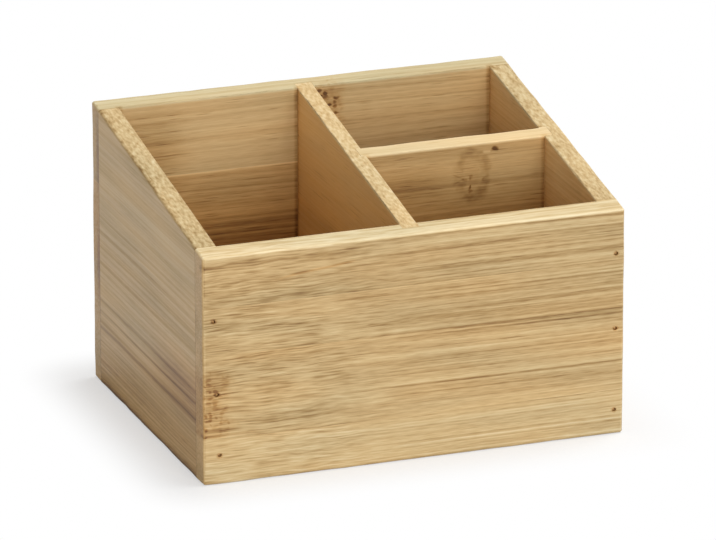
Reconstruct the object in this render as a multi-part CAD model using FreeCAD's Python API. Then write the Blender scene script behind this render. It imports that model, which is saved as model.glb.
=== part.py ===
import FreeCAD, Part
import os
from typing import NamedTuple

from FreeCAD import Vector

# Bamboo vanity organizer: an open box with three compartments and a rim that slopes down to the front.
# Millimetres, +Z up, front towards -Y, origin on the table under the middle of the box.
# The front and back boards cover the ends of the side boards and are pinned to them.
# The dividers are housed in dados that are open at the rim, and the base floats in a groove.

# Overall sizes
overall_width = 150.0
overall_depth = 115.0
front_height = 80.0
back_height = 100.0

# Board stock
wall_thickness = 7.5
divider_thickness = 6.0
base_thickness = 4.0

# Layout: the long divider stands in the middle, the cross divider closes the rear compartment
rear_compartment_depth = 46.25
base_underside = 3.0

# Joinery
base_groove_depth = 3.0
base_edge_play = 0.25
base_groove_play = 0.1
wall_dado_depth = 3.0
divider_dado_depth = 2.0
dado_end_gap = 0.1
glue_gap = 0.05

# Edges sanded after the glue-up
outer_ease = 1.0
rim_ease = 0.4

# Headless pins, driven a little below the surface
pin_diameter = 1.2
pin_length = 20.0
pin_point_length = 1.6
pin_point_diameter = 0.4
pin_sink = 0.4
pin_fit = 0.02

# Pin rows: the lowest pin over the base's top, the highest pin under the rim, what the middle pin stands
# above the half-way height, and how far the highest and lowest lie inward of the middle of the side board
front_left_above_base = 3.4
front_left_below_rim = 22.4
front_left_middle_rise = -2.2
front_left_lower_shift = 2.0
front_right_above_base = 1.8
front_right_below_rim = 15.5
front_right_middle_rise = 1.2
front_right_upper_shift = -0.6
front_right_lower_shift = -0.4
back_above_base = 3.0
back_below_rim = 20.0

# Worked out from the sizes above
half_width = overall_width / 2
half_depth = overall_depth / 2
inner_half_width = half_width - wall_thickness
inner_half_depth = half_depth - wall_thickness
half_divider = divider_thickness / 2
base_top = base_underside + base_thickness
cross_back_y = inner_half_depth - rear_compartment_depth
cross_front_y = cross_back_y - divider_thickness
above_rim = max(front_height, back_height) + wall_thickness
touch = 1e-4


class PinRow(NamedTuple):
    """One row of three pins through the end of the front or back board into a side board.

    side is -1 at the left end and +1 at the right end, face is -1 on the front board and +1 on the back.
    """

    node: str
    side: int
    face: int
    above_base: float
    below_rim: float
    middle_rise: float = 0.0
    upper_shift: float = 0.0
    lower_shift: float = 0.0


pin_rows = (
    PinRow(
        "front_left_pins", -1, -1, front_left_above_base, front_left_below_rim,
        front_left_middle_rise, lower_shift=front_left_lower_shift,
    ),
    PinRow(
        "front_right_pins", 1, -1, front_right_above_base, front_right_below_rim,
        front_right_middle_rise, front_right_upper_shift, front_right_lower_shift,
    ),
    PinRow("back_left_pins", -1, 1, back_above_base, back_below_rim),
    PinRow("back_right_pins", 1, 1, back_above_base, back_below_rim),
)


def rim_height(y):
    """Height of the sloping rim above the table at a distance y behind the middle."""
    return front_height + (back_height - front_height) * (y + half_depth) / overall_depth


def block(low, high):
    """Rectangular block between two opposite corners."""
    size = Vector(*high) - Vector(*low)
    return Part.makeBox(size.x, size.y, size.z, Vector(*low))


def compartments():
    """Plan of each compartment as (left, right, front, back)."""
    left, right = -inner_half_width, inner_half_width
    front, back = -inner_half_depth, inner_half_depth
    return (
        (left, -half_divider, front, back),
        (half_divider, right, front, cross_front_y),
        (half_divider, right, cross_back_y, back),
    )


def on_compartment_rim(edge):
    """True for a straight edge of the sloping rim that borders a compartment."""
    middle = edge.valueAt((edge.FirstParameter + edge.LastParameter) / 2)
    on_rim = abs(middle.z - rim_height(middle.y)) < touch
    inside = abs(middle.x) < inner_half_width + touch and abs(middle.y) < inner_half_depth + touch
    return on_rim and inside


def sanded_box():
    """The glued-up box as one block with its pockets, every edge that a hand meets eased."""
    profile = Part.makePolygon([
        Vector(-half_width, -half_depth, 0),
        Vector(-half_width, half_depth, 0),
        Vector(-half_width, half_depth, back_height),
        Vector(-half_width, -half_depth, front_height),
        Vector(-half_width, -half_depth, 0),
    ])
    outside = Part.Face(profile).extrude(Vector(overall_width, 0, 0))
    outside = outside.makeFillet(outer_ease, outside.Edges)
    for left, right, front, back in compartments():
        outside = outside.cut(block((left, front, base_top), (right, back, above_rim)))
    rims = [edge for edge in outside.Edges if on_compartment_rim(edge)]
    return outside.makeFillet(rim_ease, rims)


def base_groove():
    """Groove for the base, cut into the four walls and stopped short of the outer faces."""
    reach_x = inner_half_width + base_groove_depth
    reach_y = inner_half_depth + base_groove_depth
    return block((-reach_x, -reach_y, base_underside), (reach_x, reach_y, base_top + base_groove_play))


def long_dado():
    """Housing of the long divider across the compartments and into the front and back boards."""
    reach_x = half_divider + glue_gap
    reach_y = inner_half_depth + wall_dado_depth
    return block((-reach_x, -reach_y, base_top), (reach_x, reach_y, above_rim))


def cross_dado():
    """Housing of the cross divider from the long divider into the right side board."""
    left = half_divider - divider_dado_depth
    right = inner_half_width + wall_dado_depth
    return block((left, cross_front_y - glue_gap, base_top), (right, cross_back_y + glue_gap, above_rim))


def pin_places(row):
    """Centres of a row's three pins on the outer face, as (x, z) from the lowest up."""
    rim = rim_height(row.face * half_depth)
    lowest = base_top + row.above_base
    highest = rim - row.below_rim
    middle = (lowest + highest) / 2 + row.middle_rise
    places = []
    for z in (lowest, middle, highest):
        share = (z - lowest) / (highest - lowest)
        shift = row.lower_shift + (row.upper_shift - row.lower_shift) * share
        places.append((row.side * (half_width - wall_thickness / 2 - shift), z))
    return places


def pin(row, place, clearance=0.0, lead=0.0):
    """One headless pin with a blunt point, or its hole when it has a clearance and a lead to the face."""
    x, z = place
    inward = Vector(0, -row.face, 0)
    radius = pin_diameter / 2 + clearance
    point_radius = pin_point_diameter / 2 + clearance
    shank_length = pin_length - pin_point_length + lead
    start = Vector(x, row.face * (half_depth - pin_sink + lead), z)
    neck = start + inward * shank_length
    shank = Part.makeCylinder(radius, shank_length, start, inward)
    point = Part.makeCone(radius, point_radius, pin_point_length + clearance, neck, inward)
    return shank.fuse(point).removeSplitter()


def pin_row(row):
    """The separate pins of one row."""
    return Part.makeCompound([pin(row, place) for place in pin_places(row)])


def drilled(board):
    """A board with the holes of every pin that passes through it."""
    for row in pin_rows:
        for place in pin_places(row):
            board = board.cut(pin(row, place, pin_fit, pin_sink + wall_thickness))
    return board


def end_board(face, finished):
    """The front board (face -1) or the back board (face +1), over the full width."""
    near, far = sorted((face * inner_half_depth, face * half_depth))
    board = block((-half_width, near, 0), (half_width, far, above_rim))
    board = board.cut(base_groove()).cut(long_dado())
    return drilled(board).common(finished)


def side_board(side, finished):
    """The left (side -1) or right (side +1) board, between the front and back boards."""
    near, far = sorted((side * inner_half_width, side * half_width))
    board = block((near, -inner_half_depth, 0), (far, inner_half_depth, above_rim))
    board = board.cut(base_groove())
    if side > 0:
        board = board.cut(cross_dado())
    return drilled(board).common(finished)


def base_board():
    """Floor panel, loose in its groove so that it can swell and shrink."""
    reach_x = inner_half_width + base_groove_depth - base_edge_play
    reach_y = inner_half_depth + base_groove_depth - base_edge_play
    return block((-reach_x, -reach_y, base_underside), (reach_x, reach_y, base_top))


def long_divider(finished):
    """Divider from front to back, with the cross divider's dado in its right face."""
    reach_y = inner_half_depth + wall_dado_depth - dado_end_gap
    board = block((-half_divider, -reach_y, base_top), (half_divider, reach_y, above_rim))
    return board.cut(cross_dado()).common(finished)


def cross_divider(finished):
    """Divider from the long divider to the right side board."""
    left = half_divider - divider_dado_depth + dado_end_gap
    right = inner_half_width + wall_dado_depth - dado_end_gap
    return block((left, cross_front_y, base_top), (right, cross_back_y, above_rim)).common(finished)


def organizer():
    """Every piece of the organizer by node name."""
    finished = sanded_box()
    pieces = {
        "front_board": end_board(-1, finished),
        "back_board": end_board(1, finished),
        "left_side_board": side_board(-1, finished),
        "right_side_board": side_board(1, finished),
        "base_board": base_board(),
        "long_divider": long_divider(finished),
        "cross_divider": cross_divider(finished),
    }
    for row in pin_rows:
        pieces[row.node] = pin_row(row)
    return pieces


os.makedirs("parts", exist_ok=True)
for node, shape in organizer().items():
    shape.exportStep("parts/" + node + ".step")
    print(node, "solids", len(shape.Solids), "valid", shape.isValid(), "volume %.1f" % shape.Volume)
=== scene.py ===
"""Bamboo vanity organizer: its sanded boards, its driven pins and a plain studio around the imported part.

Metres, +Z up, front towards -Y, origin on the table under the middle of the box. The patterns in the bamboo
are measured in millimetres from the same origin.
"""

import logging
import math
from dataclasses import dataclass, field, replace
from enum import Enum
from functools import partial, reduce
from typing import Callable, Mapping, Optional, Sequence, Union

import bmesh
import bpy
from mathutils import Matrix, Vector, noise


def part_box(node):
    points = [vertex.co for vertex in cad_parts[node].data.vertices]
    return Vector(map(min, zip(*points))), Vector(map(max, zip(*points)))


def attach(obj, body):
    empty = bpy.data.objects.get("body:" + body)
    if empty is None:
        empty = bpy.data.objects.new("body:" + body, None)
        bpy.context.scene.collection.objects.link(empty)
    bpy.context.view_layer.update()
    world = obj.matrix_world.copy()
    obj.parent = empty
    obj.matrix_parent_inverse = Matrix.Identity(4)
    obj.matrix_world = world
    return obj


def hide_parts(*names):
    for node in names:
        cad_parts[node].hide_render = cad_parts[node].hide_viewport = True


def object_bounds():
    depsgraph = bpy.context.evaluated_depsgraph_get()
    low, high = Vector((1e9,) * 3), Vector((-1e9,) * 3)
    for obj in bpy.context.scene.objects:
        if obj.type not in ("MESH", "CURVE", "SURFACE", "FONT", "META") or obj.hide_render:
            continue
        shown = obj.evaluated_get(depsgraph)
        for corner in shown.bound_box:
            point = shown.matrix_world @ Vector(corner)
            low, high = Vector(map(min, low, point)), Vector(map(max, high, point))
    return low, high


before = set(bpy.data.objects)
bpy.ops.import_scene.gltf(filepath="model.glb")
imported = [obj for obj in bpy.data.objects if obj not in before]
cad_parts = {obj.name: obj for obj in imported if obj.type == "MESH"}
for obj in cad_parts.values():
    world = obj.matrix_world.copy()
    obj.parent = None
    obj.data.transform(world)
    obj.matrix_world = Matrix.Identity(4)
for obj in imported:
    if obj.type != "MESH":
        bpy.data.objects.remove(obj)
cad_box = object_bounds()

log = logging.getLogger("organizer")

MM = 0.001
MM_PER_M = 1000.0
WELD = 0.002 * MM
TOUCH = 0.001 * MM
ON_FACE = 0.01 * MM
ROOT = "root"
FRAME_WIDTH = 716

# Faces of the boards in millimetres: of the walls, outside and inside, of both dividers and of the base
OUTER_X, OUTER_Y = 75.0, 57.5
INNER_X, INNER_Y = 67.5, 50.0
LONG_FACE = 3.0
CROSS_FRONT, CROSS_BACK = -2.25, 3.75
BASE_TOP = 7.0

# How a strip's warmth and the shift of its figure are packed into a colour
WARMTH_RANGE = 4.0
STRIP_SHIFT = 40.0
STRIP_STRIDE = 0.37

# The dark specks of knuckles and eyes are warmer than the bamboo and a little sunk
SPECK_LOOK = {"warmth": 0.8, "height": -0.4}

Colour = tuple[float, float, float, float]
Shape = bmesh.types.BMesh
Piece = bpy.types.Object
Material = bpy.types.Material
Tree = bpy.types.NodeTree
Socket = bpy.types.NodeSocket
Outputs = bpy.types.bpy_prop_collection
Value = Union[float, Sequence[float], Socket]
Inputs = Mapping[Union[str, int], Value]


def paint(*levels: int) -> Colour:
    """Turn a colour as seen on a screen into the linear colour that shaders take.

    Args:
        levels: red, green and blue, each from 0 to 255.

    Returns:
        The linear colour, opaque.
    """
    shares = (level / 255 for level in levels)
    linear = (share / 12.92 if share <= 0.04045 else ((share + 0.055) / 1.055) ** 2.4 for share in shares)
    return (*linear, 1.0)


class Graph:
    """A node tree that is being built."""

    def __init__(self, tree: Tree) -> None:
        """Empty the tree."""
        tree.nodes.clear()
        self.tree = tree

    def add(self, kind: str, inputs: Optional[Inputs] = None, **settings: object) -> bpy.types.Node:
        """Add one node.

        Args:
            kind: Blender's name for the type of node.
            inputs: a constant or a socket for each input, by its name or place.
            settings: the node's properties.

        Returns:
            The new node.
        """
        node = self.tree.nodes.new(kind)
        for name, setting in settings.items():
            setattr(node, name, setting)
        for place, value in (inputs or {}).items():
            self.feed(node.inputs[place], value)
        return node

    def feed(self, socket: Socket, value: Value) -> None:
        """Link a socket to an input, or set the input's constant."""
        if isinstance(value, bpy.types.NodeSocket):
            self.tree.links.new(value, socket)
        else:
            socket.default_value = value

    def use(self, group: Tree, inputs: Inputs) -> Outputs:
        """Place a shared group.

        Args:
            group: the group.
            inputs: values by name, of which the group gets those that it has an input for.

        Returns:
            The group's outputs.
        """
        node = self.add("ShaderNodeGroup", node_tree=group)
        for name, value in inputs.items():
            if name in node.inputs:
                self.feed(node.inputs[name], value)
        return node.outputs

    def math(self, operation: str, *values: Value) -> Socket:
        """Work out one number from others."""
        return self.add("ShaderNodeMath", dict(enumerate(values)), operation=operation).outputs[0]

    def minus(self, value: Value, taken: Value) -> Socket:
        """Take one number from another."""
        return self.math("SUBTRACT", value, taken)

    def apart(self, value: Value, other: Value) -> Socket:
        """Say how far two numbers lie apart."""
        return self.math("ABSOLUTE", self.minus(value, other))

    def scale(self, value: Value, factor: Value, offset: Value) -> Socket:
        """Multiply a number and add an offset."""
        return self.math("MULTIPLY_ADD", value, factor, offset)

    def total(self, *values: Value) -> Value:
        """Add up any count of numbers."""
        return reduce(partial(self.math, "ADD"), values)

    def product(self, *values: Value) -> Value:
        """Multiply any count of numbers."""
        return reduce(partial(self.math, "MULTIPLY"), values)

    def vector(self, operation: str, *values: Value, output: str = "Vector") -> Socket:
        """Work out one vector from others, where a number stands for the same number three times."""
        return self.add("ShaderNodeVectorMath", dict(enumerate(values)), operation=operation).outputs[output]

    def measure(self, operation: str, *values: Value) -> Socket:
        """Work out one number from vectors."""
        return self.vector(operation, *values, output="Value")

    def combine(self, *parts: Value) -> Socket:
        """Make a vector of three numbers."""
        return self.add("ShaderNodeCombineXYZ", dict(enumerate(parts))).outputs[0]

    def parts(self, vector: Socket) -> Outputs:
        """Split a vector into its three numbers, by the names X, Y and Z."""
        return self.add("ShaderNodeSeparateXYZ", {0: vector}).outputs

    def span(self, value: Value, low: Value, high: Value, start: Value = 0.0, end: Value = 1.0) -> Socket:
        """Pass smoothly from start to end while a number goes from low to high.

        Args:
            value: the number that is followed.
            low: where the passage begins.
            high: where it is complete.
            start: what comes out at low and beyond it.
            end: what comes out at high and beyond it.

        Returns:
            The passage's output.
        """
        inputs = {"Value": value, "From Min": low, "From Max": high, "To Min": start, "To Max": end}
        return self.add("ShaderNodeMapRange", inputs, interpolation_type="SMOOTHSTEP").outputs["Result"]

    def fade(self, value: Value, low: Value, high: Value) -> Socket:
        """Pass smoothly from 1 to 0 while a number goes from low to high."""
        return self.span(value, low, high, 1.0, 0.0)

    def ramp(self, value: Value, stops: Sequence[tuple[float, Colour]], steps: bool = False) -> Socket:
        """Turn a number from 0 to 1 into a colour.

        Args:
            value: the number.
            stops: the colours and where each stands, from the lowest up.
            steps: whether each colour holds until the next one.

        Returns:
            The colour.
        """
        node = self.add("ShaderNodeValToRGB", {"Fac": value})
        node.color_ramp.interpolation = "CONSTANT" if steps else "LINEAR"
        elements = node.color_ramp.elements
        elements.remove(elements[1])
        elements[0].position, elements[0].color = stops[0]
        for place, colour in stops[1:]:
            elements.new(place).color = colour
        return node.outputs["Color"]

    def cloud(self, place: Socket, cell: Sequence[float], detail: float = 1.0) -> Outputs:
        """Add a noise texture with its own cell size along each axis.

        Args:
            place: where the noise is read.
            cell: the size of the noise's cells along X, Y and Z, in the units of place.
            detail: how many finer layers it has.

        Returns:
            A number and a colour.
        """
        scaled = self.vector("DIVIDE", place, cell)
        return self.add("ShaderNodeTexNoise", {"Vector": scaled, "Scale": 1.0, "Detail": detail}).outputs

    def swing(self, place: Socket, cell: Sequence[float]) -> Socket:
        """Read a noise as a number about 0."""
        return self.minus(self.cloud(place, cell)[0], 0.5)

    def drift(self, place: Socket, cell: Sequence[float], reach: Value) -> Socket:
        """Push a place about by a noise.

        Args:
            place: the place, and where the noise is read.
            cell: the size of the noise's cells.
            reach: how far it pushes along X, Y and Z.

        Returns:
            The new place.
        """
        push = self.vector("SUBTRACT", self.cloud(place, cell, 0.0)["Color"], (0.5, 0.5, 0.5))
        return self.vector("MULTIPLY_ADD", push, reach, place)

    def grains(
        self, place: Socket, cell: Sequence[float], core: float, edge: float, few: float = 0.0
    ) -> Socket:
        """Scatter one drawn-out grain in each cell, some fainter than others.

        Args:
            place: where the grains are read.
            cell: the size of the cells along X, Y and Z, in the units of place.
            core: how far a grain is solid, as a share of its cell.
            edge: how far it reaches, as a share of its cell.
            few: the share of the grains that is left out.

        Returns:
            The grains' mask.
        """
        scaled = self.vector("DIVIDE", place, cell)
        cells = self.add("ShaderNodeTexVoronoi", {"Vector": scaled, "Scale": 1.0}).outputs
        strength = self.span(self.parts(cells["Color"])["X"], few, 1.0)
        return self.product(self.fade(cells["Distance"], core, edge), strength)

    def seen(self) -> tuple[Socket, Socket]:
        """Tell the rays that the camera sends, alone and with those that a gloss or a glass passes on."""
        path = self.add("ShaderNodeLightPath").outputs
        passed = self.math("MAXIMUM", path["Is Glossy Ray"], path["Is Transmission Ray"])
        return path["Is Camera Ray"], self.math("MAXIMUM", path["Is Camera Ray"], passed)

    def surface(self, inputs: Inputs, height: Value, strength: float, relief: float) -> None:
        """End a material in one shader.

        Args:
            inputs: the shader's inputs by name.
            height: how far each place stands out.
            strength: how much of the relief shows.
            relief: how far a height of 1 stands out, in metres.
        """
        bump = self.add("ShaderNodeBump", {"Height": height, "Strength": strength, "Distance": relief})
        shader = self.add("ShaderNodeBsdfPrincipled", {**inputs, "Normal": bump.outputs["Normal"]})
        self.add("ShaderNodeOutputMaterial", {"Surface": shader.outputs[0]})


def new_material(name: str) -> tuple[Material, Graph]:
    """Make a material with an empty tree."""
    material = bpy.data.materials.new(name)
    material.use_nodes = True
    return material, Graph(material.node_tree)


class Kind(Enum):
    """What the inputs and outputs of a group can be."""

    NUMBER = "NodeSocketFloat"
    WHOLE = "NodeSocketInt"
    PLACE = "NodeSocketVector"
    COLOUR = "NodeSocketColor"
    SHAPE = "NodeSocketGeometry"
    PIECE = "NodeSocketObject"
    FINISH = "NodeSocketMaterial"


class Group(Graph):
    """A node group with named inputs and outputs."""

    def __init__(self, name: str, kind: str = "ShaderNodeTree") -> None:
        """Start an empty group of a kind of tree."""
        super().__init__(bpy.data.node_groups.new(name, kind))
        self.entry = self.add("NodeGroupInput")
        self.exit = self.add("NodeGroupOutput")

    def take(self, kind: Kind, *names: str) -> list[Socket]:
        """Add inputs of one kind.

        Args:
            kind: what they are.
            names: their names.

        Returns:
            The sockets that give the inputs inside the group.
        """
        for name in names:
            self.tree.interface.new_socket(name=name, in_out="INPUT", socket_type=kind.value)
        return [self.entry.outputs[name] for name in names]

    def give(self, name: str, value: Socket, kind: Kind = Kind.NUMBER) -> None:
        """Add an output and feed it."""
        self.tree.interface.new_socket(name=name, in_out="OUTPUT", socket_type=kind.value)
        self.feed(self.exit.inputs[name], value)

    def dress(self, name: str, shape: Socket, finish: Socket) -> None:
        """End a geometry tree: make copies real, give the shape its finish and put it out."""
        whole = self.add("GeometryNodeRealizeInstances", {0: shape}).outputs[0]
        dressed = self.add("GeometryNodeSetMaterial", {"Geometry": whole, "Material": finish}).outputs[0]
        self.give(name, dressed, Kind.SHAPE)


def grain_figure() -> Tree:
    """Build the figure of solid bamboo, so that a cut in any direction shows it rightly.

    Grain is a place in the board: along the fibres, across the strips and through the thickness. Curl is 1
    where the streaks are short and wavy.

    Returns:
        The group.
    """
    group = Group("Bamboo figure")
    grain, = group.take(Kind.PLACE, "Grain")
    seed, curl = group.take(Kind.NUMBER, "Seed", "Curl")

    place = group.vector("MULTIPLY_ADD", seed, (53.7, 11.3, 7.9), grain)
    place = group.drift(place, (95.0, 24.0, 24.0), (0.0, 1.8, 1.8))
    sway = group.product(curl, 0.9)
    place = group.drift(place, (10.0, 4.0, 4.0), group.combine(0.0, sway, sway))
    straight, short = (group.swing(place, cell) for cell in ((230.0, 1.0, 1.4), (13.0, 0.66, 0.9)))
    streak = group.add("ShaderNodeMix", {"Factor": curl, "A": straight, "B": short}).outputs["Result"]
    bundle = group.grains(place, (34.0, 1.3, 1.3), 0.08, 0.30)
    thread = group.grains(place, (12.0, 0.7, 0.7), 0.10, 0.34, 0.2)

    for name, cell in (("Tint", (55.0, 11.0, 14.0)), ("Broad", (190.0, 4.5, 7.0)), ("Fine", (5.0, 0.4, 0.4))):
        group.give(name, group.product(group.swing(place, cell), 4.0))
    group.give("Ripple", group.product(group.swing(place, (6.0, 7.0, 6.0)), 4.0, curl))
    group.give("Streak", group.product(streak, group.scale(curl, -0.5, 4.0)))
    group.give("Fibre", group.math("MAXIMUM", bundle, thread))
    return group.tree


def cut_fibres() -> Tree:
    """Build masks of the faces that cut the fibres: slantwise, with pores, as a sloping rim does, or square.

    Returns:
        The group.
    """
    group = Group("Cut fibres")
    facing, fibres, grain = group.take(Kind.PLACE, "Facing", "Fibres", "Grain")

    square = group.math("ABSOLUTE", group.measure("DOT_PRODUCT", facing, fibres))
    slant = group.product(group.span(square, 0.06, 0.14), group.fade(square, 0.3, 0.6))
    pores = group.grains(grain, (2.2, 40.0, 1.1), 0.10, 0.46, 0.35)
    group.give("Mottle", group.product(group.swing(grain, (2.4, 40.0, 1.0)), 4.0, slant))
    group.give("Pores", group.product(pores, slant))
    group.give("End", group.span(square, 0.3, 0.9))
    return group.tree


def glue_line() -> Tree:
    """Build a hairline, as where two strips of a board are glued, or a line of painted shade where two boards
    meet in a corner.

    Returns:
        The group.
    """
    group = Group("Glue line")
    place, centre, width = group.take(Kind.NUMBER, "Place", "Centre", "Width")
    group.give("Line", group.fade(group.apart(place, centre), group.product(width, 0.3), width))
    return group.tree


def knuckle_mark() -> Tree:
    """Build the mark of a knuckle of the cane across one strip: a brown band with short dark dashes.

    Returns:
        The group.
    """
    group = Group("Cane knuckle")
    grain, = group.take(Kind.PLACE, "Grain")
    centre, length, low, high, seed = group.take(Kind.NUMBER, "Centre", "Length", "Low", "High", "Seed")

    place = group.vector("ADD", grain, seed)
    along, across, _ = group.parts(grain)
    away = group.math("DIVIDE", group.minus(along, centre), length)
    bent = group.math("ABSOLUTE", group.scale(group.swing(place, (9.0, 5.0, 9.0)), 1.2, away))
    above = group.span(across, low, group.math("ADD", low, 1.0))
    below = group.fade(across, group.minus(high, 6.0), high)
    band = group.product(group.fade(bent, 0.2, 1.1), above, below)
    torn = group.drift(place, (1.7, 1.7, 1.7), (1.1, 1.1, 0.0))
    dash = group.grains(torn, (3.2, 1.6, 2.0), 0.16, 0.62, 0.1)
    dot = group.grains(torn, (2.0, 1.8, 2.0), 0.20, 0.54, 0.2)
    group.give("Band", band)
    group.give("Specks", group.product(group.math("MAXIMUM", dash, dot), band))
    return group.tree


def bud_eye() -> Tree:
    """Build the eye of a bud on a knuckle: a soft dark ring round a paler middle, with a few dark specks.

    Returns:
        The group.
    """
    group = Group("Bud eye")
    grain, = group.take(Kind.PLACE, "Grain")
    names = ("Along", "Across", "Length", "Height", "Wander")
    along, across, length, height, wander = group.take(Kind.NUMBER, *names)

    reach = group.combine(wander, wander, 0.0)
    bent = group.drift(group.drift(grain, (4.5, 4.5, 8.0), reach), (1.8, 1.8, 8.0), reach)
    offset = group.vector("SUBTRACT", bent, group.combine(along, across, 0.0))
    scaled = group.vector("DIVIDE", offset, group.combine(length, height, 1.0))
    away = group.measure("LENGTH", group.vector("MULTIPLY", scaled, (1.0, 1.0, 0.0)))
    broken = group.span(group.cloud(grain, (4.5, 3.5, 6.0))[0], 0.3, 0.65, 0.3, 1.0)
    specks = group.grains(bent, (2.6, 2.0, 2.0), 0.16, 0.55, 0.15)
    lower = group.span(group.parts(scaled)["Y"], 0.0, 0.6, 1.0, 0.15)
    group.give("Ring", group.product(group.fade(group.apart(away, 1.1), 0.0, 0.5), broken))
    group.give("Specks", group.product(specks, lower, group.fade(away, 0.5, 1.15)))
    group.give("Middle", group.fade(away, 0.3, 1.0))
    return group.tree


def streak_or_shade_band() -> Tree:
    """Build one long band that follows the fibres near one face of a board and fades at its ends: a streak in
    the bamboo, or a band of painted shade or painted light.

    Returns:
        The group.
    """
    group = Group("Long streak")
    grain, = group.take(Kind.PLACE, "Grain")
    names = ("Start", "End", "Height", "Rise", "Width", "Face")
    start, end, height, rise, width, face = group.take(Kind.NUMBER, *names)

    along, across, through = group.parts(grain)
    share = group.math("DIVIDE", group.minus(along, start), group.minus(end, start))
    sway = group.swing(grain, (26.0, 30.0, 30.0))
    middle = group.scale(sway, 1.4, group.scale(share, rise, height))
    line = group.fade(group.apart(across, middle), 0.0, group.product(width, 0.6))
    ends = group.product(group.span(share, 0.0, 0.3), group.fade(share, 0.85, 1.0))
    near = group.fade(group.apart(through, face), 1.5, 4.0)
    group.give("Streak", group.product(line, ends, near))
    return group.tree


def box_edges() -> Tree:
    """Build masks from a place in the box: the eased edges, the sloping rim and the joints at the corners.

    A place lies on an edge where the second nearest of the box's outer faces is near as well.

    Returns:
        The group.
    """
    group = Group("Box edges")
    place, = group.take(Kind.PLACE, "Place")
    names = ("Half width", "Half depth", "Front height", "Slope", "Wall", "Ease")
    half_width, half_depth, front_height, slope, wall, ease = group.take(Kind.NUMBER, *names)

    x, y, z = group.parts(place)
    side = group.minus(half_width, group.math("ABSOLUTE", x))
    end = group.minus(half_depth, group.math("ABSOLUTE", y))
    rim = group.minus(group.scale(group.math("ADD", y, half_depth), slope, front_height), z)
    nearer, farther = (group.math(pick, side, end) for pick in ("MINIMUM", "MAXIMUM"))
    lower, upper = (group.math(pick, rim, z) for pick in ("MINIMUM", "MAXIMUM"))
    crossed = group.math("MAXIMUM", nearer, lower)
    second_nearest = group.math("MINIMUM", crossed, group.math("MINIMUM", farther, upper))
    joint = group.fade(group.apart(end, wall), 0.05, 0.35)
    group.give("Edge", group.product(group.fade(second_nearest, 0.0, ease), group.span(z, 0.5, 2.5)))
    group.give("Rim", group.fade(rim, 0.25, 1.1))
    group.give("Joint", group.product(joint, group.math("LESS_THAN", side, wall)))
    return group.tree


def bamboo_colour() -> Tree:
    """Build the colours of lacquered bamboo, from its darkest fibre to its palest pith.

    Returns:
        The group.
    """
    group = Group("Bamboo colour")
    tone, warmth = group.take(Kind.NUMBER, "Tone", "Warmth")
    stops = (
        (0.0, paint(90, 59, 10)),
        (0.18, paint(138, 102, 55)),
        (0.34, paint(177, 143, 89)),
        (0.5, paint(203, 171, 119)),
        (0.66, paint(219, 191, 139)),
        (1.0, paint(243, 223, 180)),
    )
    warmer = group.vector("MULTIPLY_ADD", warmth, (0.10, -0.08, -0.30), (1.0, 1.0, 1.0))
    group.give("Color", group.vector("MULTIPLY", group.ramp(tone, stops), warmer), Kind.COLOUR)
    return group.tree


class Effects:
    """The node groups that the finishes share, each built once."""

    def __init__(self) -> None:
        """Build the groups."""
        self.figure = grain_figure()
        self.cut = cut_fibres()
        self.glue_line = glue_line()
        self.knuckle = knuckle_mark()
        self.eye = bud_eye()
        self.streak = streak_or_shade_band()
        self.edges = box_edges()
        self.colour = bamboo_colour()


class Grain(Enum):
    """The axes of a board: along its fibres, across its strips and through its thickness."""

    ACROSS = ("X", "Z", "Y")
    DEPTH = ("Y", "Z", "X")
    FLOOR = ("X", "Y", "Z")

    def fibres(self) -> tuple[float, ...]:
        """Give the direction of the fibres."""
        return tuple(float(axis == self.value[0]) for axis in "XYZ")

    def lay(self, graph: Graph, place: Socket) -> Socket:
        """Turn a place in the box into a place in the board."""
        parts = graph.parts(place)
        return graph.combine(*(parts[axis] for axis in self.value))


@dataclass
class Shade:
    """What a finish adds up at each place of a board: how pale it is, how warm and how far it stands out.

    Lay is the place in the board. Plain is how much of the figure and of the marks shows, which is less on
    the ends. Face is where the marks lie through the thickness.
    """

    graph: Graph
    effects: Effects
    lay: Socket
    plain: Socket
    seed: float
    face: float
    tone: list[Value] = field(default_factory=lambda: [0.5])
    warmth: list[Value] = field(default_factory=lambda: [0.0])
    height: list[Value] = field(default_factory=lambda: [0.0])

    def add(self, mask: Socket, tone: Value = 0.0, warmth: Value = 0.0, height: Value = 0.0) -> None:
        """Let a mask change the tone, the warmth and the height."""
        for terms, amount in ((self.tone, tone), (self.warmth, warmth), (self.height, height)):
            if amount != 0.0:
                terms.append(self.graph.product(mask, amount))


@dataclass(frozen=True)
class Strip:
    """One strip of a glued board, up to its upper joint, which shows as a darker or a paler line."""

    top: float
    tone: float
    warmth: float = 0.0
    figure: float = 1.0
    joint: float = 0.0


@dataclass(frozen=True)
class Mark:
    """A mark on a board. Its sizes feed the inputs of the same names in its group."""

    def masks(self, shade: Shade, group: Tree, **more: Value) -> Outputs:
        """Place the mark's group in a board's material.

        Args:
            shade: the board's shade.
            group: the mark's group.
            more: values for inputs that are not sizes of the mark.

        Returns:
            The group's outputs.
        """
        sizes = {name.capitalize(): value for name, value in vars(self).items()}
        board = {"Grain": shade.lay, "Seed": shade.seed, "Face": shade.face}
        return shade.graph.use(group, {**board, **sizes, **more})

    def put_on(self, shade: Shade) -> None:
        """Add the mark to a board's shade."""
        raise NotImplementedError


@dataclass(frozen=True)
class Knuckle(Mark):
    """One knuckle of the cane: its place along the fibres, and the strip that it crosses."""

    centre: float
    length: float
    low: float
    high: float
    specks: float
    band: float

    def put_on(self, shade: Shade) -> None:
        """Add the knuckle to a board's shade."""
        masks = self.masks(shade, shade.effects.knuckle)
        shade.add(masks["Band"], -self.band, warmth=0.35)
        shade.add(shade.graph.product(masks["Specks"], shade.plain), -self.specks, **SPECK_LOOK)


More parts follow.
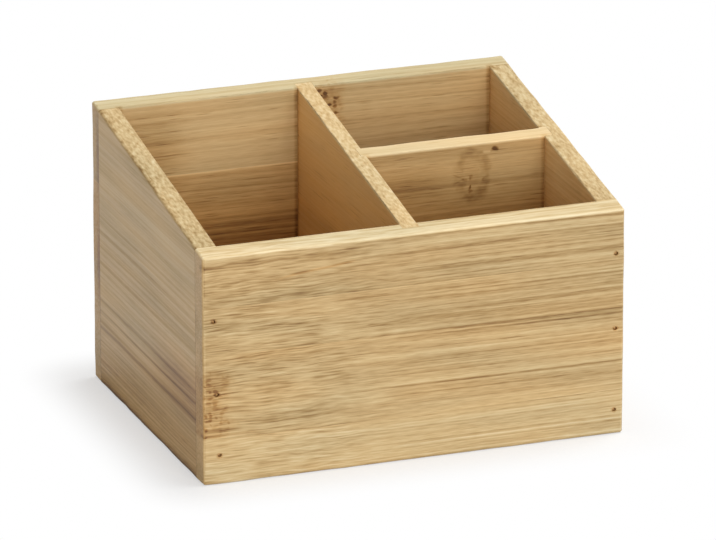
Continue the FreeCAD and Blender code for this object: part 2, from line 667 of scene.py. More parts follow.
@dataclass(frozen=True)
class Eye(Mark):
    """One bud eye, knot or stain: its place, and its half sizes along the fibres and across them."""

    along: float
    across: float
    length: float
    height: float
    ring: float = 0.16
    specks: float = 0.48
    middle: float = -0.05
    wander: float = 2.0

    def put_on(self, shade: Shade) -> None:
        """Add the eye to a board's shade."""
        masks = self.masks(shade, shade.effects.eye)
        shade.add(masks["Ring"], -self.ring)
        shade.add(masks["Specks"], -self.specks, **SPECK_LOOK)
        shade.add(masks["Middle"], self.middle, warmth=-1.6 * self.middle)


@dataclass(frozen=True)
class Streak(Mark):
    """One long streak on a face of a board, dark unless its depth is below 0. Some stand in for painted shade
    instead, or for painted light where the depth is below 0, as noted where they are listed.
    """

    start: float
    end: float
    height: float
    width: float
    depth: float
    warmth: float = 0.0
    rise: float = 0.0

    def put_on(self, shade: Shade) -> None:
        """Add the streak to a board's shade."""
        shade.add(self.masks(shade, shade.effects.streak)["Streak"], -self.depth, self.warmth)


@dataclass(frozen=True)
class CornerShade(Mark):
    """Painted shade: the dark line on a face of a board along the corner that it makes with another board."""

    centre: float
    depth: float = 0.17
    width: float = 1.7

    def put_on(self, shade: Shade) -> None:
        """Add the painted corner shade to a board's shade."""
        graph = shade.graph
        along, across, through = graph.parts(shade.lay)
        line = self.masks(shade, shade.effects.glue_line, Place=along)["Line"]
        near = graph.fade(graph.apart(through, shade.face), 0.5, 2.0)
        above = graph.span(across, BASE_TOP - 1.0, BASE_TOP)
        shade.add(graph.product(line, near, above), -self.depth, warmth=0.2)


@dataclass(frozen=True)
class BambooFinish:
    """Sanded, clear-lacquered bamboo of one board, in the millimetres of the whole box.

    Face is where its streaks and its painted corner shade lie through its thickness. Curl is where short
    waves give way to straight streaks along it. Rough is the roughness from its darkest streak to its palest.
    Sunk is the height of pores and joints, and fine_height and fibre_height are those of the figure. The
    rim's tone and warmth make the sloping rim paler and less warm, partly as its sanded cut fibres and partly
    as painted sheen and painted light from above.
    """

    seed: float
    strips: tuple[Strip, ...]
    face: float = 0.0
    marks: tuple[Mark, ...] = ()
    bottom: float = 0.0
    curl: tuple[float, float] = (-1000.0, -900.0)
    broad: float = 0.05
    streak: float = 0.19
    fine: float = 0.09
    fibre: float = 0.16
    mottle: float = 0.20
    pores: float = 0.08
    end_tone: float = -0.07
    end_warmth: float = 0.2
    end_figure: float = 0.25
    rim_tone: float = 0.15
    rim_warmth: float = 0.0
    edge_tone: float = 0.10
    joint_tone: float = -0.16
    glue_width: float = 0.45
    tint: float = 0.28
    patch: float = 0.05
    ripple: float = 0.05
    rough: tuple[float, float] = (0.52, 0.38)
    rim_rough: float = 0.35
    sunk: float = -0.5
    fine_height: float = 0.25
    fibre_height: float = -0.6
    bump: float = 0.6
    relief: float = 0.06 * MM

    def material(self, name: str, grain: Grain, effects: Effects, box_sizes: Inputs) -> Material:
        """Make the board's material.

        Args:
            name: the material's name.
            grain: the axes of the board.
            effects: the shared node groups.
            box_sizes: the sizes for the masks of the box's edges.

        Returns:
            The material.
        """
        material, graph = new_material(name)
        texture = graph.add("ShaderNodeTexCoord").outputs
        place = graph.vector("MULTIPLY", texture["Object"], (MM_PER_M,) * 3)
        lay = grain.lay(graph, place)
        cut = graph.use(effects.cut, {"Facing": texture["Normal"], "Fibres": grain.fibres(), "Grain": lay})
        plain = graph.scale(cut["End"], self.end_figure - 1.0, 1.0)
        shade = Shade(graph, effects, lay, plain, self.seed, self.face)

        streak = self.grow(shade)
        edges = graph.use(effects.edges, {"Place": place, **box_sizes})
        shade.add(cut["End"], self.end_tone, self.end_warmth)
        shade.add(cut["Mottle"], self.mottle)
        shade.add(cut["Pores"], -self.pores, warmth=0.3, height=self.sunk)
        # Where the edge tone is above 0 the eased edges are paler, as sanding wears the lacquer and partly as
        # a painted highlight.
        shade.add(edges["Edge"], self.edge_tone)
        # The sloping rim is paler and less warm, partly as its sanded cut fibres and partly as painted sheen
        # and painted light from above.
        shade.add(edges["Rim"], self.rim_tone, self.rim_warmth)
        shade.add(edges["Joint"], self.joint_tone, warmth=0.2, height=self.sunk)
        for mark in self.marks:
            mark.put_on(shade)

        tints = {"Tone": graph.total(*shade.tone), "Warmth": graph.total(*shade.warmth)}
        rough = graph.span(streak, -1.0, 1.0, *self.rough)
        inputs = {
            "Base Color": graph.use(effects.colour, tints)["Color"],
            "Roughness": graph.scale(edges["Rim"], self.rim_rough, rough),
        }
        graph.surface(inputs, graph.total(*shade.height), self.bump, self.relief)
        return material

    def grow(self, shade: Shade) -> Socket:
        """Add the strips, their glue lines and their figure to a board's shade.

        Args:
            shade: the board's shade.

        Returns:
            The streaks of the figure, for the gloss.
        """
        graph, effects = shade.graph, shade.effects
        along, across, _ = graph.parts(shade.lay)
        packed = self.by_strip(graph, across, self.strip_colour)
        strip = graph.add("ShaderNodeSeparateColor", {0: packed}).outputs
        shade.add(graph.minus(strip["Red"], 0.5), shade.plain)
        shade.warmth.append(graph.scale(strip["Blue"], WARMTH_RANGE, -WARMTH_RANGE / 2))
        seed = graph.scale(strip["Green"], STRIP_SHIFT, self.seed)
        curl = graph.fade(along, *self.curl)
        figure = graph.use(effects.figure, {"Grain": shade.lay, "Seed": seed, "Curl": curl})
        strength = self.by_strip(graph, across, lambda count, strip: (strip.figure,) * 3 + (1.0,))
        strength = graph.product(strength, shade.plain)
        for name, amount in (("Broad", self.broad), ("Streak", self.streak), ("Fine", self.fine)):
            shade.add(figure[name], graph.product(strength, amount))
        # The ripple's soft pale and dark waves across curling fibres are partly their own figure and partly a
        # painted sheen, the shimmer that curling fibres show.
        shade.add(figure["Ripple"], self.ripple)
        shade.add(figure["Tint"], self.patch, self.tint)
        shade.add(figure["Fine"], height=self.fine_height)
        fibres = graph.product(figure["Fibre"], shade.plain)
        shade.add(fibres, -self.fibre, height=self.fibre_height)
        for glued in self.strips[:-1]:
            if glued.joint:
                inputs = {"Place": across, "Centre": glued.top, "Width": self.glue_width}
                line = graph.use(effects.glue_line, inputs)["Line"]
                shade.add(graph.product(line, shade.plain), glued.joint)
        return figure["Streak"]

    @staticmethod
    def strip_colour(count: int, strip: Strip) -> Colour:
        """Pack a strip's tone, a number of its own and its warmth into red, green and blue."""
        own = STRIP_STRIDE * (count + 1) % 1.0
        return (0.5 + strip.tone, own, 0.5 + strip.warmth / WARMTH_RANGE, 1.0)

    def by_strip(self, graph: Graph, across: Socket, read: Callable[[int, Strip], Colour]) -> Socket:
        """Give each strip a colour of its own.

        Args:
            graph: the material's tree.
            across: the place across the strips.
            read: the colour of a strip, from its count and the strip.

        Returns:
            The colour of the strip that the place lies in.
        """
        height = self.strips[-1].top - self.bottom
        share = graph.math("DIVIDE", graph.minus(across, self.bottom), height)
        floors = (self.bottom,) + tuple(strip.top for strip in self.strips[:-1])
        places = [(floor - self.bottom) / height for floor in floors]
        stops = [(place, read(*item)) for place, item in zip(places, enumerate(self.strips))]
        return graph.ramp(share, stops, steps=True)


FRONT_FINISH = BambooFinish(
    seed=2.0,
    face=-OUTER_Y,
    strips=(
        Strip(16, 0.11, 0.06, 1.1, -0.10),
        Strip(45, 0.03, 0.08),
        Strip(62, -0.02, 0.08),
        Strip(100, -0.03),
    ),
    curl=(-45.0, 15.0),
    marks=(
        Knuckle(-73, 9, 16, 42, 0.28, 0.095),
        Streak(-110, -52, 17.2, 1.5, 0.16, 0.2),
        Streak(-15, 30, 26.5, 1.6, 0.12),
        Streak(10, 300, 8, 7, -0.07),
        Streak(-64, -5, 24, 6, -0.13),
        Streak(10, 300, 24, 5, -0.08),
        Streak(5, 300, 40, 4.5, 0.09),
        Streak(-300, 30, 43.5, 6, 0.08),
        Streak(-15, 110, 45, 8, 0.19, rise=-1.0),
        Streak(-300, -38, 48, 9, 0.07),
        Streak(-40, 110, 56, 4.5, 0.14),
        Streak(-80, -5, 60, 5, 0.08),
        Streak(-10, 200, 62.5, 7, -0.09),
        Streak(-52, -20, 69.5, 1.2, 0.08, 0.6, rise=4.0),
        Streak(-20, 45, 73, 1.8, 0.14, rise=1.0),
        Streak(-120, -10, 76.5, 4, 0.18),
    ),
    streak=0.235,
    fibre=0.11,
    ripple=0.03,
    rim_tone=0.31,
    rim_warmth=-0.1,
)
BACK_FINISH = BambooFinish(
    seed=11.0,
    face=INNER_Y,
    strips=(
        # The lower strips are darker and the middle one warmer, partly as their own colour and partly as
        # painted shade deep in the compartments.
        Strip(30, -0.02),
        Strip(72, -0.06, 0.4, 0.5, 0.22),
        Strip(110, 0.03, 0.0, 0.5),
    ),
    marks=(
        Knuckle(7.5, 7, 82, 101, 0.42, 0.08),
        # Painted shade: the next two streaks darken the lower face deep in the compartments, the third the
        # top of its right-hand part and the fourth its left end beside the left board.
        Streak(-400, 400, 44, 42, 0.14, 0.3),
        Streak(-400, 400, 46, 22, 0.05),
        Streak(-30, 400, 92, 30, 0.06, 0.2),
        Streak(-150, -38, 82, 36, 0.20),
        # Painted warm bounce light low on the right-hand part, warmth only.
        Streak(3, 400, 76, 13, 0.0, 0.6),
        # Painted shade in the corners.
        CornerShade(-INNER_X),
        CornerShade(-LONG_FACE),
        CornerShade(INNER_X),
    ),
    end_tone=-0.13,
    rim_tone=0.13,
    rim_warmth=-0.6,
)
LEFT_FINISH = BambooFinish(
    seed=23.0,
    face=-OUTER_X,
    strips=(
        # The lowest strip is darker partly as its own colour and partly as painted shade.
        Strip(11, -0.07, 0.2, 0.8),
        Strip(58, -0.02, 0.15, 0.5),
        Strip(110, 0.0, 0.1, 0.4),
    ),
    marks=(
        # Painted shade: these two broad bands make the face darker and warmer towards the bottom; the three
        # narrow ones after them are streaks in the bamboo.
        Streak(-400, 400, 12, 40, 0.09, 0.2),
        Streak(-300, 10, 29, 24, 0.22, 0.45),
        Streak(-110, 70, 21, 2.2, 0.16),
        Streak(-90, 90, 26.5, 1.4, 0.12),
        Streak(-75, 110, 31, 1.8, 0.14),
        # Painted contact shadow along the bottom edge.
        Streak(-400, 400, 0, 4.6, 0.40),
    ),
    broad=0.09,
    streak=0.15,
    fine=0.06,
    fibre=0.07,
    patch=0.08,
    edge_tone=-0.22,
    rim_tone=0.05,
    rim_warmth=-0.3,
)
RIGHT_FINISH = BambooFinish(
    seed=31.0,
    face=INNER_X,
    strips=(
        Strip(18, 0.0, 0.1, 0.8),
        Strip(42, -0.02, 0.2, 0.7),
        Strip(66, -0.04, 0.4, 0.5),
        Strip(110, -0.01, 0.5, 0.4),
    ),
    marks=(
        # Painted shade in the corners.
        CornerShade(INNER_Y, 0.10),
        CornerShade(CROSS_FRONT, 0.06),
        CornerShade(CROSS_BACK),
        # Painted shade towards the front, and painted light about the cross divider and towards the back.
        Streak(-200, -18, 82, 24, 0.07),
        Streak(-28, 20, 80, 20, -0.08),
        Streak(28, 150, 78, 14, -0.08),
    ),
    fibre=0.10,
    rim_tone=0.08,
    rim_warmth=-0.7,
)
BASE_FINISH = BambooFinish(
    seed=47.0,
    bottom=-60.0,
    strips=(Strip(-34, 0.0), Strip(-10, -0.02), Strip(14, 0.01), Strip(38, -0.01), Strip(60, 0.0)),
    streak=0.12,
    fibre=0.10,
)
LONG_FINISH = BambooFinish(
    seed=59.0,
    face=-LONG_FACE,
    strips=(Strip(30, 0.03, 0.9, 0.2), Strip(60, 0.03, 0.9, 0.2), Strip(110, 0.07, 0.9, 0.2)),
    marks=(
        # Painted shade in the corner.
        CornerShade(INNER_Y),
        # Painted shade towards the front and painted light towards the back.
        Streak(-200, -5, 80, 26, 0.08),
        Streak(5, 150, 87, 16, -0.06),
    ),
    rim_tone=0.10,
    rim_warmth=-0.85,
)
CROSS_FINISH = BambooFinish(
    seed=67.0,
    face=CROSS_FRONT,
    strips=(Strip(22, 0.0), Strip(46, -0.01, 0.4), Strip(110, -0.08, 0.2, 0.45)),
    marks=(
        # Painted shade low on the face, darker and warmer.
        Streak(-400, 400, 58, 34, 0.11, 0.5),
        # Painted shade beside the long divider.
        Streak(-100, 40, 77, 14, 0.14),
        Eye(41.3, 78.2, 4.8, 7.0),
        Eye(49.6, 87.0, 1.8, 1.3, ring=0.0, specks=0.0, middle=-0.42, wander=0.8),
        Streak(44.6, 48, 86.2, 1.2, -0.16),
        Streak(33.5, 38.5, 79.5, 1, 0.09, rise=-2.5),
        Streak(34, 38.5, 75.5, 1, 0.08, rise=2.0),
        # Painted shade in the corners.
        CornerShade(INNER_X, 0.12),
        CornerShade(LONG_FACE, 0.12),
    ),
    rim_tone=0.40,
    rim_warmth=-0.05,
)


@dataclass(frozen=True)
class PinFinish:
    """Dull dark steel wire with some tarnish."""

    bright: Colour = paint(196, 150, 92)
    tarnish: Colour = paint(136, 98, 56)
    stain_size: float = 0.4 * MM
    rough: tuple[float, float] = (0.4, 0.7)
    metallic: float = 0.3
    bump: float = 0.4
    relief: float = 0.05 * MM

    def material(self, name: str) -> Material:
        """Make the pins' material.

        Args:
            name: the material's name.

        Returns:
            The material.
        """
        material, graph = new_material(name)
        place = graph.add("ShaderNodeTexCoord").outputs["Object"]
        stain = graph.cloud(place, (self.stain_size,) * 3, 2.0)[0]
        inputs = {
            "Base Color": graph.ramp(stain, ((0.35, self.bright), (0.65, self.tarnish))),
            "Roughness": graph.span(stain, 0.3, 0.7, *self.rough),
            "Metallic": self.metallic,
        }
        graph.surface(inputs, stain, self.bump, self.relief)
        return material


def hand_sanding() -> Tree:
    """Build the tree that wears the eased edges of a board a little unevenly.

    Returns:
        The geometry tree.
    """
    group = Group("Hand sanding", "GeometryNodeTree")
    board, = group.take(Kind.SHAPE, "Board")
    depth, run, seed = group.take(Kind.NUMBER, "Depth", "Run", "Seed")
    finish, = group.take(Kind.FINISH, "Finish")

    ease = group.add("GeometryNodeInputNamedAttribute", {"Name": "ease"}, data_type="FLOAT")
    place = group.vector("DIVIDE", group.add("GeometryNodeInputPosition").outputs[0], run)
    swell = group.add("ShaderNodeTexNoise", {"Vector": place, "W": seed, "Scale": 1.0}, noise_dimensions="4D")
    worn = group.product(group.span(swell.outputs[0], 0.35, 0.7), ease.outputs["Attribute"])
    normal = group.add("GeometryNodeInputNormal").outputs[0]
    offset = group.vector("MULTIPLY", normal, group.product(worn, depth, -1.0))
    sanded = group.add("GeometryNodeSetPosition", {"Geometry": board, "Offset": offset}).outputs[0]
    group.dress("Board", sanded, finish)
    return group.tree


def driven_pins() -> Tree:
    """Build the tree that drives one pin at each point, each to its own depth and turn.

    Returns:
        The geometry tree.
    """
    group = Group("Driven pins", "GeometryNodeTree")
    heads, = group.take(Kind.SHAPE, "Heads")
    pin, = group.take(Kind.PIECE, "Pin")
    inward, = group.take(Kind.PLACE, "Inward")
    spread, = group.take(Kind.NUMBER, "Spread")
    seed, = group.take(Kind.WHOLE, "Seed")
    finish, = group.take(Kind.FINISH, "Finish")

    shape = group.add("GeometryNodeObjectInfo", {"Object": pin}).outputs["Geometry"]
    pins = group.add("GeometryNodeInstanceOnPoints", {"Points": heads, "Instance": shape}).outputs[0]
    chance = group.add("FunctionNodeRandomValue", {"Seed": seed}, data_type="FLOAT").outputs[1]
    rotation = group.combine(0.0, group.product(chance, math.tau), 0.0)
    pins = group.add("GeometryNodeRotateInstances", {"Instances": pins, "Rotation": rotation}).outputs[0]
    offset = group.vector("MULTIPLY", inward, group.product(chance, spread))
    pins = group.add("GeometryNodeTranslateInstances", {"Instances": pins, "Translation": offset}).outputs[0]
    group.dress("Pins", pins, finish)
    return group.tree


def add_piece(name: str, mesh: bpy.types.Mesh) -> Piece:
    """Put a mesh in the scene as an object at the origin."""
    piece = bpy.data.objects.new(name, mesh)
    bpy.context.scene.collection.objects.link(piece)
    return piece


def new_mesh(name: str, shape: Shape) -> bpy.types.Mesh:
    """Turn a shape into a mesh and let go of the shape."""
    mesh = bpy.data.meshes.new(name)
    shape.to_mesh(mesh)
    shape.free()
    return mesh


def apply_tree(piece: Piece, tree: Tree, inputs: Mapping[str, object]) -> None:
    """Shape a piece with a geometry tree and keep the result as its plain mesh.

    Args:
        piece: the object, which may already have modifiers that come after the tree.
        tree: the geometry tree.
        inputs: values for the tree's inputs, by name.
    """
    modifier = piece.modifiers.new(tree.name, "NODES")
    modifier.node_group = tree
    for item in tree.interface.items_tree:
        if item.in_out == "INPUT" and item.name in inputs:
            modifier[item.identifier] = inputs[item.name]
    piece.modifiers.move(len(piece.modifiers) - 1, 0)
    graph = bpy.context.evaluated_depsgraph_get()
    shaped = piece.evaluated_get(graph)
    mesh = bpy.data.meshes.new_from_object(shaped, preserve_all_data_layers=True, depsgraph=graph)
    piece.modifiers.clear()
    rough = piece.data
    piece.data = mesh
    bpy.data.meshes.remove(rough)
    mesh.name = piece.name


def welded(node: str) -> Shape:
    """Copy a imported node's mesh with its loose triangles joined."""
    copy = bmesh.new()
    copy.from_mesh(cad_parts[node].data)
    bmesh.ops.remove_doubles(copy, verts=copy.verts, dist=WELD)
    return copy


@dataclass
class PinRow:
    """A row of headless pins that is driven through an end board into a side board."""

    node: str
    face: int
    seed: int
    rings: int = 14
    chamfer: float = 0.12 * MM
    dome: float = 0.06 * MM
    dome_bend: tuple[float, float] = (0.55, 0.35)
    point_length: float = 1.6 * MM
    point_radius: float = 0.2 * MM
    spread: float = 0.12 * MM
    sharp: float = math.radians(40)
    heads: list[Vector] = field(default_factory=list)
    radius: float = 0.0
    length: float = 0.0

    def __post_init__(self) -> None:
        """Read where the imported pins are, and how thick and long."""
        copy = welded(self.node)
        left = set(copy.verts)
        while left:
            solid = self.solid_around(left.pop())
            left -= solid
            low, high = (Vector(pick(v.co[axis] for v in solid) for axis in range(3)) for pick in (min, max))
            head = high.y if self.face > 0 else low.y
            self.heads.append(Vector(((low.x + high.x) / 2, head, (low.z + high.z) / 2)))
            self.radius = (high.x - low.x) / 2
            self.length = high.y - low.y
        self.heads.sort(key=lambda point: point.z)
        copy.free()

    @staticmethod
    def solid_around(start: bmesh.types.BMVert) -> set[bmesh.types.BMVert]:
        """Collect every corner that is joined to one corner by edges."""
        found, waiting = {start}, [start]
        while waiting:
            for edge in waiting.pop().link_edges:
                for corner in edge.verts:
                    if corner not in found:
                        found.add(corner)
                        waiting.append(corner)
        return found

    def pattern(self) -> Piece:
        """Turn one pin about its axis, with a hammered dome, a chamfer and a blunt point.

        Returns:
            The pin, its head at the origin and its point inward.
        """
        profile = (
            (0.0, 0.0),
            (self.radius * self.dome_bend[0], self.dome * self.dome_bend[1]),
            (self.radius - self.chamfer, self.dome),
            (self.radius, self.dome + self.chamfer),
            (self.radius, self.length - self.point_length),
            (self.point_radius, self.length),
            (0.0, self.length),
        )
        shape = bmesh.new()
        corners = [shape.verts.new((reach, -self.face * depth, 0.0)) for reach, depth in profile]
        edges = [shape.edges.new(pair) for pair in zip(corners, corners[1:])]
        turn = {"axis": (0, 1, 0), "cent": (0, 0, 0), "angle": math.tau, "steps": self.rings}
        bmesh.ops.spin(shape, geom=corners + edges, **turn)
        bmesh.ops.remove_doubles(shape, verts=shape.verts, dist=TOUCH)
        bmesh.ops.recalc_face_normals(shape, faces=shape.faces)
        mesh = new_mesh("pin", shape)
        mesh.shade_smooth()
        mesh.set_sharp_from_angle(angle=self.sharp)
        return add_piece("pin", mesh)

    def build(self, tree: Tree, finish: Material) -> None:
        """Drive the row's pins as one piece and dress them.

        Args:
            tree: the geometry tree of driven pins.
            finish: the pins' material.
        """
        points = bpy.data.meshes.new(self.node)
        points.from_pydata(self.heads, [], [])
        piece = add_piece(self.node.replace("pins", "driven_pins"), points)
        pattern = self.pattern()
        inward = (0.0, float(-self.face), 0.0)
        drive = {"Pin": pattern, "Inward": inward, "Spread": self.spread, "Seed": self.seed}
        apply_tree(piece, tree, {**drive, "Finish": finish})
        bpy.data.objects.remove(pattern)
        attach(piece, ROOT)
        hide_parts(self.node)
        log.info("%s: %d pins, %.1f mm long", piece.name, len(self.heads), self.length / MM)


@dataclass
class Board:
    """One board, with its mesh cut into even cells, its eased edges worn and its pin holes torn.

    Flat, soft and sharp are angles between faces: below flat they are one face, between soft and sharp they
    make an eased edge. Mouth is how far a pin hole tears, in radii of its pin, and tear_across is how much of
    the tear shows even across the fibres.
    """

    node: str
    grain: Grain
    finish: BambooFinish
    slot: str = "bamboo"
    pins: tuple[PinRow, ...] = ()
    cell: float = 5 * MM
    flat: float = math.radians(0.3)
    soft: float = math.radians(4)
    sharp: float = math.radians(35)
    sanding: float = 0.22 * MM
    sanding_run: float = 14 * MM
    mouth: float = 1.3
    tear: float = 0.12 * MM
    tear_size: float = 0.35 * MM
    tear_across: float = 0.4
    stain: tuple[float, float] = (1.56, 1.3)
    stain_wander: float = 0.4
    stain_tone: float = -0.26

    def pin_stains(self) -> tuple[Eye, ...]:
        """List the dark stains in the bamboo round the pins."""
        heads = [head / MM for row in self.pins for head in row.heads]
        look = {"ring": 0.0, "specks": 0.0, "middle": self.stain_tone, "wander": self.stain_wander}
        return tuple(Eye(head.x, head.z, *self.stain, **look) for head in heads)

    def even_cells(self) -> Shape:
        """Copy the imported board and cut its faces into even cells.

        Returns:
            The board's mesh.
        """
        copy = welded(self.node)
        bmesh.ops.dissolve_limit(copy, angle_limit=self.flat, verts=copy.verts, edges=copy.edges)
        low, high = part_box(self.node)
        for axis in "XYZ".index(self.grain.value[0]), "XYZ".index(self.grain.value[1]):
            direction = Vector((0, 0, 0))
            direction[axis] = 1.0
            count = max(1, round((high[axis] - low[axis]) / self.cell))
            for step in range(1, count):
                at = direction * (low[axis] + (high[axis] - low[axis]) * step / count)
                everything = [*copy.verts, *copy.edges, *copy.faces]
                bmesh.ops.bisect_plane(copy, geom=everything, plane_co=at, plane_no=direction, dist=TOUCH)
        return copy

    def mark_edges(self, copy: Shape) -> None:
        """Mark sharp edges, and note which corners lie on an eased edge."""
        ease = copy.verts.layers.float.new("ease")
        for edge in copy.edges:
            edge.smooth = edge.calc_face_angle(0.0) < self.sharp
        for corner in copy.verts:
            angles = [edge.calc_face_angle(0.0) for edge in corner.link_edges]
            corner[ease] = 1.0 if self.soft < max(angles) < self.sharp else 0.0
        for face in copy.faces:
            face.smooth = True

    def tear_holes(self, copy: Shape) -> None:
        """Fray the mouth of each pin hole, most along the fibres."""
        for row in self.pins:
            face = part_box(self.node)[row.face > 0].y
            for head in row.heads:
                for corner in copy.verts:
                    away = Vector((corner.co.x - head.x, 0, corner.co.z - head.z))
                    if abs(corner.co.y - face) < ON_FACE and away.length < self.mouth * row.radius:
                        fray = 0.5 + 0.5 * noise.noise(corner.co / self.tear_size)
                        along = self.tear_across + abs(away.normalized().x)
                        corner.co += away.normalized() * self.tear * fray * along

    def build(self, tree: Tree, effects: Effects, box_sizes: Inputs) -> None:
        """Make the board and dress it.

        Args:
            tree: the geometry tree of hand sanding.
            effects: the shared node groups of the finishes.
            box_sizes: the sizes for the masks of the box's edges.
        """
        copy = self.even_cells()
        self.mark_edges(copy)
        self.tear_holes(copy)
        piece = add_piece("sanded_" + self.node, new_mesh(self.node, copy))
        normals = piece.modifiers.new("Even normals", "WEIGHTED_NORMAL")
        normals.keep_sharp = True
        finish = replace(self.finish, marks=self.finish.marks + self.pin_stains())
        material = finish.material(self.node + "_bamboo", self.grain, effects, box_sizes)
        wear = {"Depth": self.sanding, "Run": self.sanding_run, "Seed": self.finish.seed}
        apply_tree(piece, tree, {**wear, "Finish": material})
        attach(piece, ROOT)
        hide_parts(self.node)
        log.info("%s: %d faces", piece.name, len(piece.data.polygons))


@dataclass
class Carcase:
    """The four walls and the base."""

    front_pins: tuple[PinRow, ...]
    back_pins: tuple[PinRow, ...]

    def boards(self) -> list[Board]:
        """List the boards with their finishes."""
        return [
            Board("front_board", Grain.ACROSS, FRONT_FINISH, pins=self.front_pins),
            Board("back_board", Grain.ACROSS, BACK_FINISH, pins=self.back_pins),
            Board("left_side_board", Grain.DEPTH, LEFT_FINISH),
            Board("right_side_board", Grain.DEPTH, RIGHT_FINISH),
            Board("base_board", Grain.FLOOR, BASE_FINISH, slot="base_bamboo"),
        ]


@dataclass
class Dividers:
    """The long divider and the cross divider that is housed in it."""

    def boards(self) -> list[Board]:
        """List the boards with their finishes."""
        return [
            Board("long_divider", Grain.DEPTH, LONG_FINISH),
            Board("cross_divider", Grain.ACROSS, CROSS_FINISH),
        ]


@dataclass
class Organizer:
    """The whole organizer, in millimetres."""

    front_height: float = 80.0
    back_height: float = 100.0
    wall: float = OUTER_X - INNER_X
    eased: float = 1.3

    def box_sizes(self) -> dict[str, float]:
        """Work out the sizes that the masks of the box's edges need."""
        low, high = cad_box
        half_width = (high.x - low.x) / 2 * MM_PER_M
        half_depth = (high.y - low.y) / 2 * MM_PER_M
        slope = (self.back_height - self.front_height) / (2 * half_depth)
        sizes = {"Half width": half_width, "Half depth": half_depth, "Front height": self.front_height}
        return {**sizes, "Slope": slope, "Wall": self.wall, "Ease": self.eased}

    def build(self) -> None:
        """Make every piece."""
        front = (PinRow("front_left_pins", -1, 3), PinRow("front_right_pins", -1, 5))
        back = (PinRow("back_left_pins", 1, 7), PinRow("back_right_pins", 1, 11))
        effects = Effects()
        sanding = hand_sanding()
        for board in Carcase(front, back).boards() + Dividers().boards():
            board.build(sanding, effects, self.box_sizes())
        steel = PinFinish().material("pin_steel_dark")
        pins = driven_pins()
        for row in front + back:
            row.build(pins, steel)


@dataclass(frozen=True)
class SoftBox:
    """One square studio lamp. Its level is how brightly a surface that faces it shows its colour."""

    name: str
    towards: tuple[float, float, float]
    size: float
    level: float
    distance: float = 2.2

    def build(self, aim: Vector) -> None:
        """Hang the lamp and turn it to a point."""
        lamp = bpy.data.lights.new(self.name, "AREA")
        lamp.shape = "SQUARE"
        lamp.size = self.size
        lamp.energy = self.level * math.pi ** 2 * self.distance ** 2
        holder = bpy.data.objects.new(self.name, lamp)
        bpy.context.scene.collection.objects.link(holder)
        away = Vector(self.towards).normalized()
        holder.location = aim + away * self.distance
        holder.rotation_euler = away.to_track_quat("Z", "Y").to_euler()
        holder.visible_camera = False


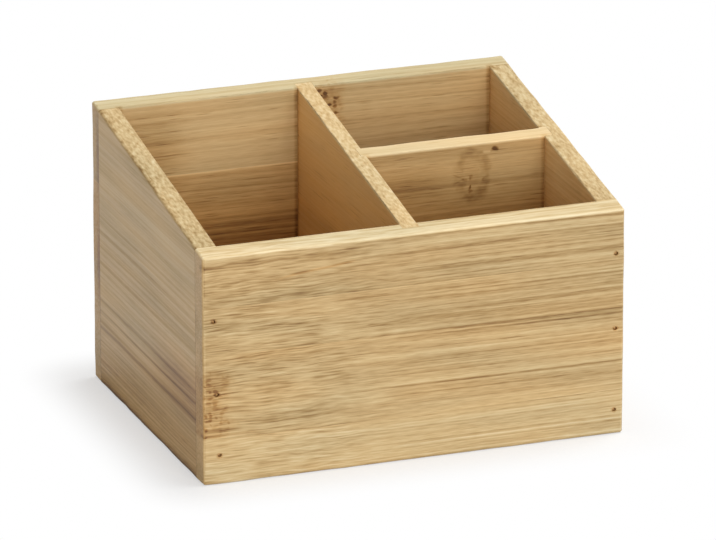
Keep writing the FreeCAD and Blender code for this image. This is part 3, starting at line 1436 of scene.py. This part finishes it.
@dataclass
class Studio:
    """A white floor, soft lamps and a white surround."""

    floor_half: float = 4.0
    floor_seen: float = 0.95
    floor_bounce: float = 0.4
    fade_from: float = 0.003
    fade_to: float = 0.05
    shadow_lift: float = 0.5
    shadow_reach: float = 0.028
    ambient: float = 0.3
    aim: tuple[float, float, float] = (0.0, 0.0, 0.045)
    lamps: tuple[SoftBox, ...] = (
        SoftBox("front_lamp", (0.0, -0.966, 0.259), 1.3, 0.555),
        SoftBox("top_lamp", (0.5, 0.0, 0.866), 1.8, 0.70),
        SoftBox("left_lamp", (-0.966, 0.0, 0.259), 1.3, 0.15),
    )

    def build(self) -> None:
        """Make the floor, the lamps and the surround."""
        self.build_floor()
        self.build_surround()
        for lamp in self.lamps:
            lamp.build(Vector(self.aim))

    def build_floor(self) -> None:
        """Lay the floor, which passes into plain white away from the box."""
        half = self.floor_half
        mesh = bpy.data.meshes.new("floor")
        corners = [(-half, -half, 0), (half, -half, 0), (half, half, 0), (-half, half, 0)]
        mesh.from_pydata(corners, [], [(0, 1, 2, 3)])
        material, graph = new_material("white_floor")
        place = graph.add("ShaderNodeTexCoord").outputs["Object"]
        beyond = graph.vector("SUBTRACT", graph.vector("ABSOLUTE", place), tuple(cad_box[1]))
        away = graph.measure("LENGTH", graph.vector("MAXIMUM", beyond, (0.0, 0.0, 0.0)))
        direct, seen = graph.seen()
        shown = graph.span(seen, 0.0, 1.0, self.floor_bounce, self.floor_seen)
        matt = graph.add("ShaderNodeBsdfDiffuse", {"Color": shown}).outputs[0]
        white = graph.add("ShaderNodeEmission", {"Strength": 1.0}).outputs[0]
        fade = graph.product(graph.span(away, self.fade_from, self.fade_to), seen)
        lifted = graph.span(away, 0.0, self.shadow_reach, self.shadow_lift, 1.0)
        fade = graph.math("MAXIMUM", fade, graph.product(lifted, direct))
        mixed = graph.add("ShaderNodeMixShader", {0: fade, 1: matt, 2: white}).outputs[0]
        graph.add("ShaderNodeOutputMaterial", {"Surface": mixed})
        mesh.materials.append(material)
        add_piece("floor", mesh)

    def build_surround(self) -> None:
        """Make the surround white to look at, and dimmer as a light."""
        world = bpy.data.worlds.new("surround")
        bpy.context.scene.world = world
        world.use_nodes = True
        graph = Graph(world.node_tree)
        dim, white = (
            graph.add("ShaderNodeBackground", {"Color": (1, 1, 1, 1), "Strength": strength}).outputs[0]
            for strength in (self.ambient, 1.0)
        )
        mixed = graph.add("ShaderNodeMixShader", {0: graph.seen()[1], 1: dim, 2: white}).outputs[0]
        graph.add("ShaderNodeOutputWorld", {"Surface": mixed})
        bpy.context.scene.view_settings.view_transform = "Standard"


@dataclass
class Viewpoint:
    """The camera: where it stands round the box, and how long its lens is."""

    azimuth: float = math.radians(-20.16)
    elevation: float = math.radians(19.15)
    distance: float = 2.745
    aim: tuple[float, float, float] = (0.00099, 0.00079, 0.04812)
    focal_pixels: float = 8083.0
    sensor: float = 36.0
    far: float = 20.0

    def build(self) -> None:
        """Set up the camera."""
        flat = math.cos(self.elevation)
        across, along = math.sin(self.azimuth) * flat, -math.cos(self.azimuth) * flat
        back = Vector((across, along, math.sin(self.elevation)))
        right = Vector((0, 0, 1)).cross(back).normalized()
        up = back.cross(right)
        lens = bpy.data.cameras.new("camera")
        lens.sensor_fit = "HORIZONTAL"
        lens.sensor_width = self.sensor
        lens.lens = self.focal_pixels * self.sensor / FRAME_WIDTH
        lens.clip_end = self.far
        camera = bpy.data.objects.new("camera", lens)
        bpy.context.scene.collection.objects.link(camera)
        turn = Matrix((right, up, back)).transposed().to_4x4()
        camera.matrix_world = Matrix.Translation(Vector(self.aim) + back * self.distance) @ turn
        bpy.context.scene.camera = camera


def main() -> None:
    """Build the organizer and its studio."""
    logging.basicConfig(level=logging.INFO, format="%(message)s")
    Organizer().build()
    Studio().build()
    Viewpoint().build()


if __name__ == "__main__":
    main()
